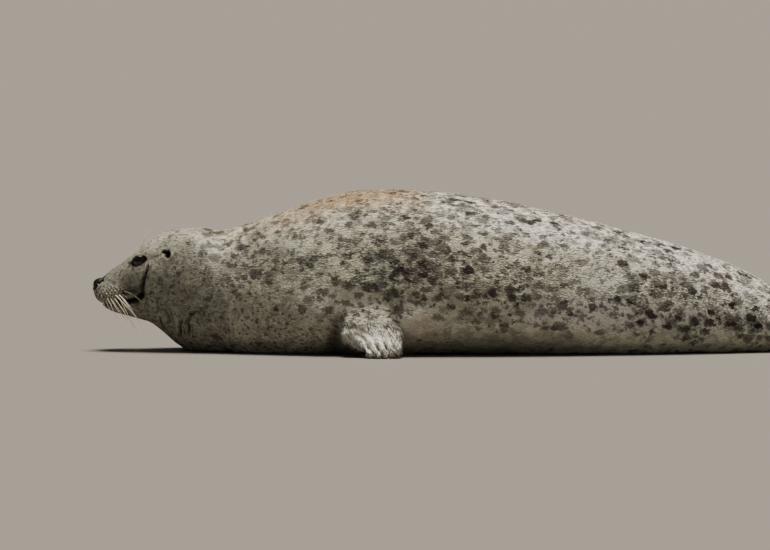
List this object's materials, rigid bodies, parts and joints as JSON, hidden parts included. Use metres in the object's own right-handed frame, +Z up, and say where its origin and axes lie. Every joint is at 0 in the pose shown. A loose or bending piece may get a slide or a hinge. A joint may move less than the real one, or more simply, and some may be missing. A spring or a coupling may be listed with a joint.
{
  "type": "grey seal",
  "caption": "Life-size still model of an adult grey seal lying on its belly, head held low and level, spotted pale coat; rests on flats under its belly.",
  "frame": {"origin": "on the floor, under the middle of the bounding box", "axes": "+Z up, the nose points along -X, the seal's left side faces -Y"},
  "size_m": [2.0774, 0.6322, 0.4104],
  "materials": {
    "seal_coat": "short dense fur lying flat, pale cream-grey with dark blotches",
    "claw_horn": "smooth horn",
    "eye": "wet, polished"
  },
  "bodies": {
    "root": {"belly": "seal_coat", "chest": "seal_coat", "eye_left": "eye", "eye_right": "eye", "fore_claw_left_1": "claw_horn", "fore_claw_left_2": "claw_horn", "fore_claw_left_3": "claw_horn", "fore_claw_left_4": "claw_horn", "fore_claw_left_5": "claw_horn", "fore_claw_right_1": "claw_horn", "fore_claw_right_2": "claw_horn", "fore_claw_right_3": "claw_horn", "fore_claw_right_4": "claw_horn", "fore_claw_right_5": "claw_horn", "fore_flipper_left": "seal_coat", "fore_flipper_right": "seal_coat", "head": "seal_coat", "hind_claw_left_1": "claw_horn", "hind_claw_left_2": "claw_horn", "hind_claw_left_3": "claw_horn", "hind_claw_left_4": "claw_horn", "hind_claw_left_5": "claw_horn", "hind_claw_right_1": "claw_horn", "hind_claw_right_2": "claw_horn", "hind_claw_right_3": "claw_horn", "hind_claw_right_4": "claw_horn", "hind_claw_right_5": "claw_horn", "hind_flipper_left": "seal_coat", "hind_flipper_right": "seal_coat", "hindquarters": "seal_coat", "neck": "seal_coat", "tail": "seal_coat"}
  },
  "joints": []
}
